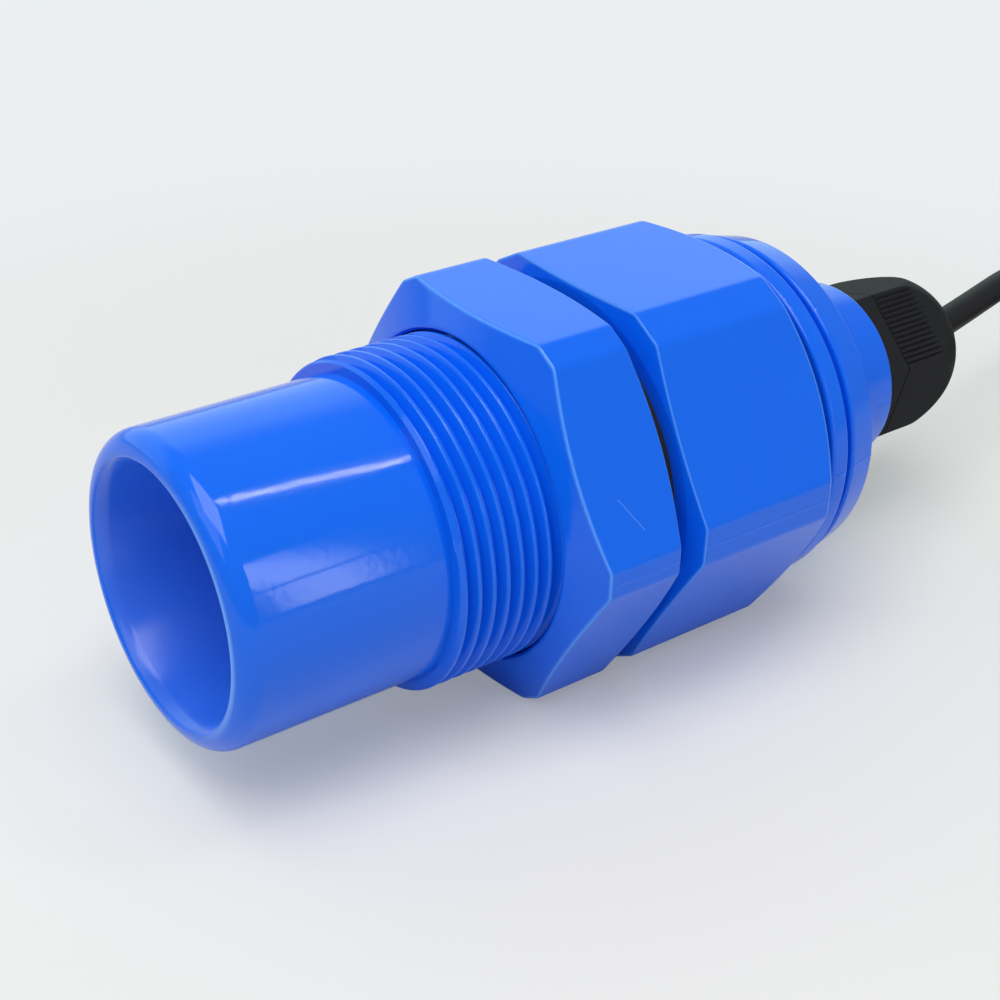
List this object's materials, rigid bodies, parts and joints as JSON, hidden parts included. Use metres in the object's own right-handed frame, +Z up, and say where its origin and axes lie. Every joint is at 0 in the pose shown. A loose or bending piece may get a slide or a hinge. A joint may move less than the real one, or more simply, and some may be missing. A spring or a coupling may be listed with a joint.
{
  "type": "ultrasonic level sensor",
  "caption": "Ultrasonic level sensor: blue horn housing with a pipe thread, hex mounting nut and gasket, a screwed end cap, a ribbed black cable gland and a pre-wired cable.",
  "frame": {"origin": "centre of the sensor's footprint on the surface that it lies on, without the free cable", "axes": "+X along the sensor's axis from the horn mouth to the cable gland, +Z up, +Y to the left when looking along +X"},
  "size_m": [0.2878, 0.0813, 0.0564],
  "materials": {
    "blue_abs": "glossy moulded",
    "black_nylon": "matt moulded",
    "black_rubber": "matt",
    "cable_jacket": "satin",
    "matching_epoxy": "matt",
    "piezo_ceramic": "silvered ceramic",
    "circuit_board": "satin",
    "component_black": "matt",
    "copper_wire": "drawn",
    "core_insulation": "satin",
    "tie_nylon": "satin"
  },
  "bodies": {
    "sensor": {"housing": "blue_abs", "flange_gasket": "black_rubber", "end_cap": "blue_abs", "cap_seal_ring": "black_rubber", "matching_layer": "matching_epoxy", "piezo_disc": "piezo_ceramic", "damping_sleeve": "black_rubber", "damping_block": "matching_epoxy", "retaining_ring": "black_nylon", "piezo_leads": "core_insulation", "temperature_probe": "component_black", "main_board": "circuit_board", "pulse_transformer": "copper_wire", "storage_capacitors": "component_black", "processor_chip": "component_black", "lead_connector": "circuit_board", "cable_cores": "core_insulation", "gland_washer": "black_rubber", "gland_body": "black_nylon", "gland_bush": "black_rubber", "gland_nut": "black_nylon", "cable_entry": "cable_jacket", "cable": "cable_jacket", "cable_coil": "cable_jacket", "coil_ties": "tie_nylon", "wire_ends": "core_insulation"},
    "nut": {"mounting_nut": "blue_abs"}
  },
  "joints": [
    {"name": "nut_travel", "type": "slide", "parent": "sensor", "child": "nut", "axis": [1, 0, 0], "range_m": [-0.0159, 0.0011]}
  ]
}
